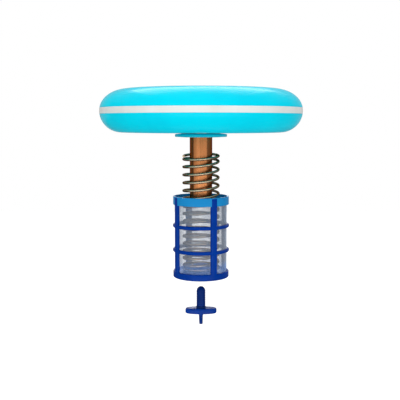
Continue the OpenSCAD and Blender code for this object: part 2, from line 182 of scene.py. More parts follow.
def rounded(corners, arc_steps=5, guard=0.4):
    """Outline through corners (a, b, radius), each rounded by its radius, with guard points on long sides."""
    side_share, straight = 0.45, math.pi - 0.01
    outline = []
    for i, (a, b, radius) in enumerate(corners):
        here = Vector((a, b))
        back = Vector(corners[i - 1][:2]) - here
        ahead = Vector(corners[(i + 1) % len(corners)][:2]) - here
        reach = side_share * min(back.length, ahead.length)
        back.normalize()
        ahead.normalize()
        opening = back.angle(ahead)
        if radius <= 0 or opening > straight:
            outline.append(here)
            continue
        run = min(radius / math.tan(opening / 2), reach)
        radius = run * math.tan(opening / 2)
        middle = here + (back + ahead).normalized() * (radius / math.sin(opening / 2))
        first, last = here + back * run - middle, here + ahead * run - middle
        sweep = first.angle(last)
        guarded = reach > run + 2 * guard
        if guarded:
            outline.append(here + back * (run + guard))
        for k in range(arc_steps + 1):
            share = k / arc_steps
            outline.append(middle + (first * math.sin((1 - share) * sweep) + last * math.sin(share * sweep))
                           / math.sin(sweep))
        if guarded:
            outline.append(here + ahead * (run + guard))
    return [tuple(point) for point in outline]


def ring_section(inside, outside, lower, upper, inner_round, outer_round, arc_steps=5):
    """Rectangular half section of a ring or a disc, with its corners rounded."""
    return rounded([(inside, lower, inner_round), (outside, lower, outer_round),
                    (outside, upper, outer_round), (inside, upper, inner_round)], arc_steps)


def turned(outline, count, place=(0.0, 0.0)):
    """Closed form made by turning a closed outline (radius, height) round an upright axis."""
    corners, faces, rows = [], [], []
    for radius, height in outline:
        first = len(corners)
        if radius < 1e-6:
            rows.append([first] * count)
            corners.append((place[0], place[1], height))
        else:
            rows.append(range(first, first + count))
            corners += [(place[0] + radius * math.cos(a), place[1] + radius * math.sin(a), height)
                        for a in bearings(count)]
    for lower, upper in zip(rows, rows[1:] + rows[:1]):
        for k in range(count):
            n = (k + 1) % count
            face = tuple(dict.fromkeys((lower[k], lower[n], upper[n], upper[k])))
            if len(face) > 2:
                faces.append(face)
    return corners, faces


def plug(radius, lower, upper, place, count=48):
    """Plain upright cylinder."""
    return turned([(0.0, lower), (radius, lower), (radius, upper), (0.0, upper)], count, place)


def lofted(rings):
    """Closed form through rings of equal count; each end is closed by a face."""
    count = len(rings[0])
    last = (len(rings) - 1) * count
    corners = [corner for ring in rings for corner in ring]
    faces = [(row + k, row + (k + 1) % count, row + count + (k + 1) % count, row + count + k)
             for row in range(0, last, count) for k in range(count)]
    return corners, faces + [tuple(range(count - 1, -1, -1)), tuple(range(last, last + count))]


def tube(path, radius, sides, up=(0.0, 0.0, 1.0), nose=0.35):
    """Round tube along points, with slightly rounded ends."""
    tip = 0.7
    points = [Vector(point) for point in path]
    rings, side = [], None
    for i, point in enumerate(points):
        way = (points[min(i + 1, len(points) - 1)] - points[max(i - 1, 0)]).normalized()
        side = Vector(up).cross(way) if side is None else side - way * side.dot(way)
        side.normalize()
        over = way.cross(side)
        spokes = [side * (radius * math.cos(a)) + over * (radius * math.sin(a)) for a in bearings(sides)]
        places = [(point, 1.0)]
        if i == 0:
            places = [(point, tip), (point + way * nose, 1.0)]
        elif i == len(points) - 1:
            places = [(point - way * nose, 1.0), (point, tip)]
        rings += [[tuple(place + spoke * share) for spoke in spokes] for place, share in places]
    return lofted(rings)


def smooth_route(points, between_points=8):
    """Points of a smooth curve through the given points."""
    ways = [Vector(point) for point in points]
    route = []
    for i in range(len(ways) - 1):
        a, b, c, d = ways[max(i - 1, 0)], ways[i], ways[i + 1], ways[min(i + 2, len(ways) - 1)]
        for k in range(between_points):
            t = k / between_points
            route.append(0.5 * (2 * b + (c - a) * t + (2 * a - 5 * b + 4 * c - d) * t ** 2
                                + (3 * b - a - 3 * c + d) * t ** 3))
    route.append(ways[-1])
    return route


def new_object(name, data):
    """Object linked to the scene."""
    obj = bpy.data.objects.new(name, data)
    bpy.context.scene.collection.objects.link(obj)
    return obj


def loose(name, forms):
    """Object of forms, with its faces turned outwards, that doesn't ride on a body yet."""
    corners, faces = [], []
    for form_corners, form_faces in forms:
        first = len(corners)
        corners.extend(form_corners)
        faces.extend(tuple(first + i for i in face) for face in form_faces)
    mesh = bpy.data.meshes.new(name)
    mesh.from_pydata([(x * MM, y * MM, z * MM) for x, y, z in corners], [], faces)
    shape = bmesh.new()
    shape.from_mesh(mesh)
    bmesh.ops.recalc_face_normals(shape, faces=shape.faces)
    shape.to_mesh(mesh)
    shape.free()
    return new_object(name, mesh)


def combine(obj, name, forms, operation):
    """Joins forms to an object's solid, or cuts them out of it."""
    tool = loose(name, forms)
    step = obj.modifiers.new("combine", "BOOLEAN")
    step.operation = operation
    step.solver = "EXACT"
    step.object = tool
    bpy.context.view_layer.update()
    done = bpy.data.meshes.new_from_object(obj.evaluated_get(bpy.context.evaluated_depsgraph_get()))
    if len(done.polygons) < 12:
        raise RuntimeError(f"{obj.name}: {operation} left nothing")
    obj.modifiers.clear()
    before, spent = obj.data, tool.data
    obj.data = done
    bpy.data.objects.remove(tool)
    bpy.data.meshes.remove(before)
    bpy.data.meshes.remove(spent)
    done.name = obj.name


def finish_piece(obj, material, body, nodes, sharp=38):
    """Shades a piece, gives it its finish and puts it on its body."""
    obj.data.shade_smooth()
    obj.data.set_sharp_from_angle(angle=math.radians(sharp))
    obj.data.materials.clear()
    obj.data.materials.append(material)
    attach(obj, body)
    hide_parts(*nodes)
    return obj


def piece(name, forms, material, body, nodes, sharp=38):
    """New piece from forms."""
    return finish_piece(loose(name, forms), material, body, nodes, sharp)


def dress(node, material):
    """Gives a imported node, whose shape stays, a better finish."""
    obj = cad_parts[node]
    if not obj.material_slots:
        obj.data.materials.append(material)
    for place in obj.material_slots:
        place.material = material


# Finishes

def add(tree, kind, inputs=None, **settings):
    """New shader node with its settings, and its inputs set or linked."""
    made = tree.nodes.new("ShaderNode" + kind)
    for key, value in settings.items():
        setattr(made, key, value)
    for key, value in (inputs or {}).items():
        if isinstance(value, bpy.types.NodeSocket):
            tree.links.new(value, made.inputs[key])
        else:
            made.inputs[key].default_value = value
    return made


def object_place(tree):
    """Place on the object, in metres."""
    return add(tree, "TexCoord").outputs["Object"]


def mapped(tree, vector, scale, turn=(0.0, 0.0, 0.0)):
    """Vector turned and stretched."""
    return add(tree, "Mapping", {"Vector": vector, "Rotation": turn, "Scale": scale}).outputs[0]


def noise(tree, vector, scale, detail=3.0, rough=0.55):
    """Grey noise over a vector."""
    return add(tree, "TexNoise", {"Vector": vector, "Scale": scale, "Detail": detail,
                                  "Roughness": rough}).outputs["Fac"]


def spread(tree, value, low_in, high_in, low_out=0.0, high_out=1.0):
    """Value mapped from one range to another, and kept inside it."""
    return add(tree, "MapRange", {"Value": value, "From Min": low_in, "From Max": high_in,
                                  "To Min": low_out, "To Max": high_out}).outputs["Result"]


def between(tree, share, first, second, blend="MIX"):
    """Colour between two colours, or the first one blended with the second."""
    return add(tree, "Mix", {0: share, 6: first, 7: second}, data_type="RGBA", blend_type=blend).outputs[2]


def combined(tree, operation, first, second):
    """Two values put together by an operation."""
    return add(tree, "Math", {0: first, 1: second}, operation=operation).outputs[0]


def plus(tree, first, second):
    """Sum of two values."""
    return combined(tree, "ADD", first, second)


def times(tree, first, second):
    """Product of two values."""
    return combined(tree, "MULTIPLY", first, second)


def new_group(name, takes, gives):
    """Empty node group with named sockets; returns its tree, its inputs and a function that sets an output."""
    tree = bpy.data.node_groups.new(name, "ShaderNodeTree")
    for label, kind, value in takes:
        socket = tree.interface.new_socket(name=label, in_out="INPUT", socket_type="NodeSocket" + kind)
        if value is not None:
            socket.default_value = value
    for label, kind in gives:
        tree.interface.new_socket(name=label, in_out="OUTPUT", socket_type="NodeSocket" + kind)
    inside = tree.nodes.new("NodeGroupInput")
    outside = tree.nodes.new("NodeGroupOutput")

    def give(label, socket):
        tree.links.new(socket, outside.inputs[label])
    return tree, inside.outputs, give


def make_moulded_skin():
    """Moulded plastic: slow changes of tone, flow lines, a fine grain and a few dull patches."""
    tree, takes, give = new_group(
        "moulded_skin",
        [("Colour", "Color", (0.5, 0.5, 0.5, 1)), ("Deep Colour", "Color", (0.4, 0.4, 0.4, 1)),
         ("Cloud Scale", "Float", 22.0), ("Grain Scale", "Float", 1400.0),
         ("Polish", "Float", 0.2), ("Dullness", "Float", 0.12)],
        [("Colour", "Color"), ("Roughness", "Float"), ("Height", "Float")])
    place = object_place(tree)
    clouds = noise(tree, place, takes["Cloud Scale"], 4.0)
    grain = noise(tree, place, takes["Grain Scale"], 2.0)
    flow = noise(tree, mapped(tree, place, (60.0, 60.0, 9.0)), 1.0, 5.0)
    share = spread(tree, plus(tree, clouds, times(tree, flow, 0.35)), 0.48, 0.92)
    give("Colour", between(tree, share, takes["Colour"], takes["Deep Colour"]))
    patches = spread(tree, times(tree, clouds, plus(tree, grain, 0.5)), 0.35, 0.75)
    give("Roughness", plus(tree, takes["Polish"], times(tree, patches, takes["Dullness"])))
    give("Height", plus(tree, times(tree, grain, 0.5), times(tree, flow, 0.5)))
    return tree


def make_drawn_streaks():
    """Drawn metal: fine lines along the way it was drawn, and broader stains that follow them."""
    tree, takes, give = new_group(
        "drawn_streaks", [("Vector", "Vector", None), ("Fine", "Float", 1.0), ("Broad", "Float", 1.0)],
        [("Lines", "Float"), ("Stains", "Float"), ("Height", "Float")])
    fine = noise(tree, takes["Vector"], takes["Fine"], 5.0, 0.65)
    broad = noise(tree, takes["Vector"], takes["Broad"], 3.0)
    give("Lines", spread(tree, fine, 0.34, 0.7))
    give("Stains", spread(tree, broad, 0.38, 0.72))
    give("Height", plus(tree, fine, times(tree, broad, 0.4)))
    return tree


def make_handling_marks():
    """Fine scratches in two directions, as handling leaves them."""
    tree, takes, give = new_group("handling_marks", [("Scale", "Float", 40.0)], [("Marks", "Float")])
    place = object_place(tree)
    lines = []
    for turn, stretch in ((0.6, (1.0, 34.0, 5.0)), (2.1, (1.0, 40.0, 9.0))):
        way = mapped(tree, place, stretch, (turn, turn * 0.7, turn))
        lines.append(spread(tree, noise(tree, way, takes["Scale"], 2.0), 0.66, 0.74))
    give("Marks", combined(tree, "MAXIMUM", *lines))
    return tree


def make_height_tone():
    """Colour that is multiplied by a tint from one height towards another, and beyond it."""
    tree, takes, give = new_group(
        "height_tone",
        [("Colour", "Color", (1, 1, 1, 1)), ("Tint", "Color", (1, 1, 1, 1)),
         ("Start", "Float", 0.0), ("End", "Float", 1.0)],
        [("Colour", "Color"), ("Share", "Float")])
    height = add(tree, "SeparateXYZ", {"Vector": object_place(tree)}).outputs["Z"]
    share = spread(tree, height, takes["Start"], takes["End"])
    give("Colour", between(tree, share, takes["Colour"], takes["Tint"], "MULTIPLY"))
    give("Share", share)
    return tree


def shared(name):
    """Node group by name, built when it is first asked for."""
    makers = {"moulded_skin": make_moulded_skin, "drawn_streaks": make_drawn_streaks,
              "handling_marks": make_handling_marks, "height_tone": make_height_tone}
    return bpy.data.node_groups.get(name) or makers[name]()


def place_group(tree, name, inputs):
    """Outputs of a shared group that is placed in a material with its own values."""
    return add(tree, "Group", inputs, node_tree=shared(name)).outputs


def new_material(name, **constants):
    """Material with a Principled shader, whose plain values stand on its own sockets."""
    material = bpy.data.materials.new(name)
    material.use_nodes = True
    tree = material.node_tree
    shader = tree.nodes["Principled BSDF"]
    for key, value in constants.items():
        shader.inputs[key.replace("_", " ")].default_value = value
    return material, tree, shader


def surface(tree, shader, tint, rough, height, bump, strength=0.5):
    """Links a colour, a roughness and a bump, whose depth is in millimetres, to a shader."""
    relief = add(tree, "Bump", {"Height": height, "Distance": bump * MM, "Strength": strength}).outputs["Normal"]
    for label, socket in (("Base Color", tint), ("Roughness", rough), ("Normal", relief)):
        tree.links.new(socket, shader.inputs[label])


def toned(tree, tint, start, end, share):
    """Colour darkened to a share, or multiplied by a tint, from one height in millimetres towards another."""
    factor = share if isinstance(share, tuple) else (share, share, share, 1.0)
    return place_group(tree, "height_tone", {"Colour": tint, "Tint": factor,
                                             "Start": start * MM, "End": end * MM})["Colour"]


def moulded(name, main, deep, polish, dull, bump, cloud=22.0, grain=1400.0, marks=0.0, levels=(), mask=None,
            **constants):
    """Moulded plastic or rubber; levels are (start, end, share) for toned, and mask may change the colour further."""
    if name in bpy.data.materials:
        return bpy.data.materials[name]
    material, tree, shader = new_material(name, **constants)
    skin = place_group(tree, "moulded_skin", {"Colour": main, "Deep Colour": deep, "Cloud Scale": cloud,
                                              "Grain Scale": grain, "Polish": polish, "Dullness": dull})
    tint, rough = skin["Colour"], skin["Roughness"]
    for start, end, share in levels:
        tint = toned(tree, tint, start, end, share)
    if mask:
        tint = mask(tree, tint)
    if marks:
        worn = place_group(tree, "handling_marks", {"Scale": 38.0})["Marks"]
        rough = plus(tree, rough, times(tree, worn, marks))
    surface(tree, shader, tint, rough, skin["Height"], bump)
    return material


def drawn_metal(name, main, dark, stretch, polish, broad=0.2, bump=0.06, round_way=False, **constants):
    """Drawn or turned metal, with its lines along one axis or round the part."""
    material, tree, shader = new_material(name, Metallic=1.0, **constants)
    place = object_place(tree)
    if round_way:
        parts = add(tree, "SeparateXYZ", {"Vector": place}).outputs
        across = combined(tree, "ARCTAN2", parts["X"], parts["Y"])
        flat = add(tree, "CombineXYZ", {"X": parts["X"], "Y": parts["Y"]}).outputs[0]
        reach = add(tree, "VectorMath", {0: flat}, operation="LENGTH").outputs["Value"]
        place = add(tree, "CombineXYZ", {"X": reach, "Y": times(tree, across, 0.01), "Z": parts["Z"]}).outputs[0]
    way = mapped(tree, place, stretch)
    streaks = place_group(tree, "drawn_streaks", {"Vector": way, "Fine": 1.0, "Broad": broad})
    share = plus(tree, times(tree, streaks["Lines"], 0.55), times(tree, streaks["Stains"], 0.3))
    surface(tree, shader, between(tree, share, main, dark),
            spread(tree, streaks["Lines"], 0.0, 1.0, polish, polish + 0.14), streaks["Height"], bump)
    return material


def rubber_finish():
    """Black rubber of the seals."""
    return moulded("black_rubber", tone("17181A"), tone("24262A"), polish=0.5, dull=0.2, bump=0.05, cloud=120.0,
                   Specular_IOR_Level=0.35)


class StageOperator(bpy.types.Operator):
    """Camera, floor, world, cards and lamps of the studio."""
    bl_idname = "ionizer.stage"
    bl_label = "Stage"

    # In metres, degrees and watts
    eye = (-0.00127, -0.916, -0.0147)
    tilt = 6.14
    lens = 64.8
    open_light = 0.64
    floor_height = -1.25
    floor_reach = 9.0
    floor_glow = 0.75

    # Cards bent round the object: first and last bearing, rows of (distance, height), glow
    skirt = ((0.3, -0.8), (1.3, -0.8))
    bent_cards = {
        "side_card_left": (-78.0, -150.0, skirt + ((1.3, 0.55),), 0.12),
        "side_card_right": (61.0, 150.0, skirt + ((1.3, 0.55),), 0.25),
        "back_card": (150.0, 210.0, skirt + ((1.3, -0.28),), 0.15),
        "front_floor_card": (-78.0, 61.0, skirt, 0.2),
        "back_light": (171.0, 189.0, ((1.24, 0.03), (1.24, 0.14)), 4.5),
        "back_shade": (120.0, 240.0, ((1.27, -0.3), (1.27, 0.75)), 0.45),
    }
    top_light = ((-0.6, 0.12, 1.0), (0.6, 0.12, 1.0), (0.6, 1.2, 0.9), (-0.6, 1.2, 0.9))
    top_glow = 6.5

    # Lamps that face the object: place, width, height, power
    target = (0.0, 0.0, -0.11)
    lamps = {
        "top_softbox": ((0.0, -0.35, 1.5), 1.5, 1.5, 7.0),
        "front_softbox": ((-0.3, -1.8, 0.8), 3.0, 0.9, 7.4),
        "low_softbox": ((0.1, -1.5, -0.68), 3.4, 0.4, 13.8),
        "rear_softbox": ((0.6, 1.9, 0.6), 1.2, 1.2, 12.0),
    }

    def camera(self):
        """Camera at the photograph's eye."""
        data = bpy.data.cameras.new("camera")
        data.lens = self.lens
        data.sensor_width = 36.0
        data.clip_start = 0.01
        data.clip_end = 60.0
        obj = new_object("camera", data)
        obj.location = self.eye
        obj.rotation_euler = (math.radians(90 - self.tilt), 0.0, 0.0)
        bpy.context.scene.camera = obj

    def seen_share(self, tree):
        """1 for rays that show the background: from the camera, or by gloss or glass."""
        path = add(tree, "LightPath").outputs
        seen = combined(tree, "MAXIMUM", path["Is Camera Ray"], path["Is Glossy Ray"])
        return combined(tree, "MAXIMUM", seen, path["Is Transmission Ray"])

    def world(self):
        """White world, which lights the object with less than it shows."""
        world = bpy.data.worlds.new("studio")
        world.use_nodes = True
        tree = world.node_tree
        tree.nodes.clear()
        lit, shown = (add(tree, "Background", {"Color": WHITE, "Strength": strength}).outputs[0]
                      for strength in (self.open_light, 1.0))
        mix = add(tree, "MixShader", {0: self.seen_share(tree), 1: lit, 2: shown})
        add(tree, "OutputWorld", {"Surface": mix.outputs[0]})
        bpy.context.scene.world = world

    def sheet(self, name, corners, faces, material):
        """Thin sheet of the stage, in metres."""
        mesh = bpy.data.meshes.new(name)
        mesh.from_pydata(corners, [], faces)
        mesh.materials.append(material)
        return new_object(name, mesh)

    def floor(self):
        """Wide floor, which shows as white as the world."""
        material, tree, shader = new_material("pale_floor", Base_Color=(0.6, 0.6, 0.6, 1.0), Roughness=0.8)
        glow = times(tree, self.seen_share(tree), self.floor_glow)
        shine = add(tree, "Emission", {"Color": WHITE, "Strength": glow})
        both = add(tree, "AddShader", {0: shader.outputs[0], 1: shine.outputs[0]})
        tree.links.new(both.outputs[0], tree.nodes["Material Output"].inputs["Surface"])
        reach = self.floor_reach
        corners = [(x * reach, y * reach, self.floor_height) for x, y in ((-1, -1), (1, -1), (1, 1), (-1, 1))]
        self.sheet("floor", corners, [(0, 1, 2, 3)], material)

    def card(self, name, corners, faces, glow):
        """Studio card that only gloss shows: a dark one draws dark sides on metal, a bright one a highlight."""
        board = new_material(name + "_board", Base_Color=(0.0, 0.0, 0.0, 1.0), Roughness=1.0,
                             Specular_IOR_Level=0.0, Emission_Color=WHITE, Emission_Strength=glow)[0]
        obj = self.sheet(name, corners, faces, board)
        obj.visible_camera = False
        obj.visible_diffuse = False
        obj.visible_shadow = False
        obj.visible_transmission = False

    def bent_card(self, name, start, end, outline, glow):
        """Card bent round the object, from one bearing to another; the camera stands at bearing 0."""
        count, rows = 24, len(outline)
        corners = []
        for k in range(count + 1):
            a = math.radians(start + (end - start) * k / count)
            corners += [(distance * math.sin(a), -distance * math.cos(a), z) for distance, z in outline]
        faces = [(rows * k + i, rows * k + rows + i, rows * k + rows + i + 1, rows * k + i + 1)
                 for k in range(count) for i in range(rows - 1)]
        self.card(name, corners, faces, glow)

    def lamp(self, name, place, width, height, power):
        """Soft lamp that faces the object."""
        data = bpy.data.lights.new(name, "AREA")
        data.shape = "RECTANGLE"
        data.size = width
        data.size_y = height
        data.energy = power
        obj = new_object(name, data)
        obj.location = place
        obj.rotation_euler = (Vector(self.target) - Vector(place)).to_track_quat("-Z", "Y").to_euler()

    def execute(self, context):
        context.scene.view_settings.view_transform = "Standard"
        self.camera()
        self.world()
        self.floor()
        for name, values in self.bent_cards.items():
            self.bent_card(name, *values)
        self.card("top_light", self.top_light, [(0, 1, 2, 3)], self.top_glow)
        for name, values in self.lamps.items():
            self.lamp(name, *values)
        return {"FINISHED"}


class ShellsOperator(bpy.types.Operator):
    """Upper and lower shells of the float."""
    bl_idname = "ionizer.shells"
    bl_label = "Float shells"

    edge_round = 0.45
    arc_steps = 26

    def arc(self, shoulder, wall, from_height):
        """Shoulder of the float from a height up to its flat face, drawn in by a wall."""
        reach, half = high("trim_band").x, float_half()
        first = math.asin(from_height / (half - wall))
        points = []
        for k in range(self.arc_steps + 1):
            a = first + (math.pi / 2 - first) * k / self.arc_steps
            points.append((reach - shoulder + (shoulder - wall) * math.cos(a), (half - wall) * math.sin(a), 0.0))
        return points

    def section(self, shoulder, middle):
        """Half section of a shell: its shoulder, the given middle, its inner wall and its joint rim."""
        wall, band, seal = size("shell_wall"), high("trim_band").z, high("shell_seal").z
        inside, outside, web = size("rim_inside"), size("rim_outside"), band + wall
        outer = self.arc(shoulder, 0.0, band)
        outer[0] = outer[0][:2] + (self.edge_round,)
        inner = self.arc(shoulder, wall, web)[::-1]
        foot = [(inside, web, 0.3), (inside, seal, 0.2), (outside, seal, 0.2), (outside, band, 0.2)]
        return rounded(outer + middle + inner + foot)

    def execute(self, context):
        wall, count = size("shell_wall"), setting("float_steps")
        cyan = moulded("cyan_shell", paint("shell"), paint("shell_deep"), polish=0.16, dull=0.1, bump=0.03,
                       marks=0.05, Specular_IOR_Level=0.04)
        pocket, lead = size("pocket_radius"), size("lead_hole")
        top, deck = high("upper_shell").z, low("panel_board").z
        upper = self.section(size("upper_shoulder"), [
            (pocket, top, 0.8), (pocket, deck, 0.5), (lead, deck, 0.4), (lead, deck - wall, 0.4),
            (pocket + wall, deck - wall, 1.0), (pocket + wall, top - wall, 0.8)])
        piece("upper_shell_skin", [turned(upper, count)], cyan, "float", ["upper_shell"])

        base, hub_top = -low("lower_shell").z, -low("stud_seal").z
        bore, hub = size("stud_bore"), size("hub_radius")
        lower = self.section(size("lower_shoulder"), [
            (bore, base, 0.3), (bore, hub_top, 0.3), (hub, hub_top, 0.6), (hub, base - wall, 0.8)])
        skin = loose("lower_shell_skin", [turned([(r, -z) for r, z in lower], count)])
        place = centre("contact_seal").xy
        radius, root = high("contact_seal").x - place.x, -base + wall / 2
        contact_hub = rounded([(0.0, -hub_top, 0), (radius, -hub_top, 0.5), (radius, root, 0), (0.0, root, 0)])
        combine(skin, "contact_hub", [turned(contact_hub, 48, place)], "UNION")
        hole = plug(size("contact_bore"), -base - 1.0, -hub_top + 1.0, place)
        combine(skin, "contact_hole", [hole], "DIFFERENCE")
        finish_piece(skin, cyan, "float", ["lower_shell"])
        return {"FINISHED"}


class BandOperator(bpy.types.Operator):
    """White band round the float, and the seal behind it."""
    bl_idname = "ionizer.band"
    bl_label = "White band"

    gap = 0.1
    edge_round = 0.45
    face_steps = 12

    def execute(self, context):
        reach, half, edge = high("trim_band").x, float_half(), high("trim_band").z
        inside, count = size("rim_outside") + self.gap, setting("float_steps")
        outline = [(inside, -edge, 0.2)]
        for k in range(self.face_steps + 1):
            z = -edge + 2 * edge * k / self.face_steps
            shoulder = size("upper_shoulder") if z > 0 else size("lower_shoulder")
            rounding = self.edge_round if k in (0, self.face_steps) else 0.0
            outline.append((reach - shoulder * (1 - math.sqrt(1 - (z / half) ** 2)), z, rounding))
        outline.append((inside, edge, 0.2))
        white = moulded("white_band", paint("band"), tone("E2E5E1"), polish=0.24, dull=0.14, bump=0.03,
                        cloud=30.0, marks=0.08, Specular_IOR_Level=0.15)
        piece("white_band_ring", [turned(rounded(outline), count)], white, "float", ["trim_band"])
        ring = ring_section(size("rim_inside"), size("rim_outside"), low("shell_seal").z, high("shell_seal").z,
                            0.2, 0.2, 3)
        piece("joint_seal", [turned(ring, count)], rubber_finish(), "float", ["shell_seal"])
        return {"FINISHED"}


class PanelOperator(bpy.types.Operator):
    """Solar panel in the top of the float."""
    bl_idname = "ionizer.solar_panel"
    bl_label = "Solar panel"

    rows = 9
    gap = 1.2
    corner = 1.6
    bevel = 0.08
    skirt = 3.5
    pane = 2.4
    margin = 3.0
    filled = 0.94
    tape_half = 0.8
    line_step = 2.2

    def strip(self, x0, x1, y0, y1, z0, z1, corner):
        """Thin plate with cut corners and a bevelled upper edge."""
        def ring(inset, z):
            a, b, c, d, n = x0 + inset, x1 - inset, y0 + inset, y1 - inset, corner
            return [(a + n, c, z), (b - n, c, z), (b, c + n, z), (b, d - n, z),
                    (b - n, d, z), (a + n, d, z), (a, d - n, z), (a, c + n, z)]
        return lofted([ring(0.0, z0), ring(0.0, z1 - self.bevel), ring(self.bevel, z1)])

    def cell_finish(self):
        """Silicon crystals in several blues, crossed by fine printed lines."""
        material, tree, shader = new_material("silicon_cell", Specular_IOR_Level=0.12)
        place = object_place(tree)
        crystals = add(tree, "TexVoronoi", {"Vector": place, "Scale": 190.0}).outputs["Color"]
        parts = add(tree, "SeparateColor", {"Color": crystals}).outputs
        deep = between(tree, parts[0], paint("cell"), tone("0B1538"))
        body = between(tree, times(tree, parts[1], 0.4), deep, tone("22408C"))
        along = add(tree, "SeparateXYZ", {"Vector": place}).outputs["X"]
        beat = combined(tree, "FRACT", times(tree, along, 1 / (self.line_step * MM)), 0.0)
        line = combined(tree, "GREATER_THAN", beat, 0.9)
        surface(tree, shader, between(tree, times(tree, line, 0.7), body, tone("AEB6C4")),
                spread(tree, parts[2], 0.0, 1.0, 0.18, 0.34),
                plus(tree, line, times(tree, parts[0], 0.3)), 0.02)
        return material

    def glass_finish(self):
        """Clear window with a faint haze and fine scratches."""
        material, tree, shader = new_material("clear_window", Transmission_Weight=1.0, IOR=1.18)
        marks = place_group(tree, "handling_marks", {"Scale": 24.0})["Marks"]
        haze = noise(tree, object_place(tree), 35.0, 4.0)
        surface(tree, shader, between(tree, haze, (0.95, 0.98, 1.0, 1.0), (0.9, 0.95, 0.97, 1.0)),
                plus(tree, spread(tree, haze, 0.3, 0.8, 0.01, 0.05), times(tree, marks, 0.08)),
                times(tree, marks, -1.0), 0.01, 0.3)
        return material

    def cells(self, reach, lower, upper):
        """Rows of strips, two in each, inside a circle."""
        step = (2 * reach * self.filled + self.gap) / self.rows
        strips = []
        for row in range(self.rows):
            y0 = (row - self.rows / 2) * step + self.gap / 2
            y1 = y0 + step - self.gap
            far = math.sqrt(reach ** 2 - max(abs(y0), abs(y1)) ** 2) - self.gap / 2
            for side in (-1, 1):
                x0, x1 = sorted((side * self.gap / 2, side * (self.gap / 2 + far)))
                strips.append(self.strip(x0, x1, y0, y1, lower, upper, self.corner))
        return strips

    def execute(self, context):
        count = setting("float_steps")
        radius, glass_top = high("panel_window").x, high("panel_window").z
        board_top, board_low = high("panel_board").z, low("panel_board").z
        inside, glass_low = radius - self.skirt, glass_top - self.pane
        window = rounded([(0.0, glass_top, 0), (radius, glass_top, 0.5), (radius, board_top, 0.2),
                          (inside, board_top, 0.2), (inside, glass_low, 0.3), (0.0, glass_low, 0)])
        piece("window_pane", [turned(window, count)], self.glass_finish(), "float",
              ["panel_window"])

        reach, cell_top = inside - self.margin, high("solar_cells").z
        piece("cell_strips", self.cells(reach, board_top, cell_top), self.cell_finish(), "float",
              ["solar_cells"], 25)

        run, half = high("cell_ribbons").y, self.tape_half
        step = math.sqrt(reach ** 2 - run ** 2) / 3
        tapes = [self.strip(x - half, x + half, -run, run, cell_top, high("cell_ribbons").z, 0.3)
                 for x in (-2 * step, -step, step, 2 * step)]
        tin = drawn_metal("tinned_ribbon", tone("D2D5D8"), tone("9A9EA3"), (700.0, 30.0, 700.0), polish=0.3)
        piece("tinned_ribbons", tapes, tin, "float", ["cell_ribbons"], 25)

        board = ring_section(0.0, radius, board_low, board_top, 0.0, 0.2)
        laminate = moulded("dark_laminate", tone("16212A"), tone("1F3038"), polish=0.45, dull=0.2, bump=0.04,
                           cloud=300.0, grain=900.0, Specular_IOR_Level=0.1)
        piece("cell_board", [turned(board, count)], laminate, "float", ["panel_board"])

        bead_low, bead_high = low("panel_bead").z, high("panel_bead").z
        near, wide = radius + 0.1, high("panel_bead").x
        bead = rounded([(near, bead_low, 0.3), (wide, bead_low, 0.3), (wide, bead_high, 1.0),
                        (near, bead_high, 1.0)], 7)
        silicone = moulded("white_silicone", tone("E6E9E9"), tone("D6DAD9"), polish=0.4, dull=0.15, bump=0.1,
                           cloud=60.0, grain=500.0, Subsurface_Weight=0.1)
        piece("window_bead", [turned(bead, count)], silicone, "float", ["panel_bead"])
        dress("blocking_diode", moulded("diode_case", tone("1E2024"), tone("2A2C30"), polish=0.4, dull=0.2,
                                        bump=0.03, cloud=300.0))
        return {"FINISHED"}


class WiringOperator(bpy.types.Operator):
    """Leads inside the float and their ring terminals."""
    bl_idname = "ionizer.wiring"
    bl_label = "Leads and terminals"

    barrel = 2.0
    lead_radius = 1.2

    def lead(self, name, slot, main, deep, route):
        """Insulated lead along a route."""
        soft = moulded(slot + "_cover", tone(main), tone(deep), polish=0.38, dull=0.2, bump=0.04, cloud=150.0)
        wire = tube(smooth_route(route), self.lead_radius, 16, (0, 1, 0))
        piece(name + "_wire", [wire], soft, "float", [name + "_lead"])

    def execute(self, context):
        board = low("panel_board").z
        start, z = high("positive_lug").x, low("positive_lug").z + self.barrel
        self.lead("positive", "lead_red", "B3201C", "8E1714", [
            (start, 0, z), (24, 0, z), (30, 0, -12), (32, 0, -4), (28, 0, 6), (18, 0, 13), (8, 0, 16),
            (6, 0, 18), (6, 0, board)])
        start, z = high("negative_lug").x, low("negative_lug").z + self.barrel
        side = centre("negative_lug").y
        self.lead("negative", "lead_black", "1B1C1E", "2A2B2D", [
            (start, side, z), (20, side, z), (25, 22, -12), (25, 20, -4), (18, 14, 6), (6, 8, 13), (-4, 3, 16),
            (-6, 0, 18), (-6, 0, board)])
        tin = drawn_metal("tinned_terminal", tone("CFCDC4"), tone("9B9A92"), (500.0, 500.0, 500.0), polish=0.3)
        dress("positive_lug", tin)
        dress("negative_lug", tin)
        return {"FINISHED"}


class FixingsOperator(bpy.types.Operator):
    """Studs, nuts, washer and seals that clamp the anode and the contact ring to the float."""
    bl_idname = "ionizer.fixings"
    bl_label = "Studs, nuts and seals"

    def execute(self, context):
        steel = drawn_metal("stainless_fitting", tone("B4B4B0"), tone("80807C"), (900.0, 900.0, 60.0), polish=0.26)
        for node in ("anode_stud", "stud_nut", "stud_washer", "contact_ring", "contact_nut"):
            dress(node, steel)
        for part in ("stud", "contact"):
            node, middle = part + "_seal", centre(part + "_seal")
            outline = ring_section(size(part + "_bore"), high(node).x - middle.x, low(node).z, high(node).z, 0.3, 0.5)
            piece(part + "_gasket", [turned(outline, 64, middle.xy)], rubber_finish(), "float", [node])
        return {"FINISHED"}


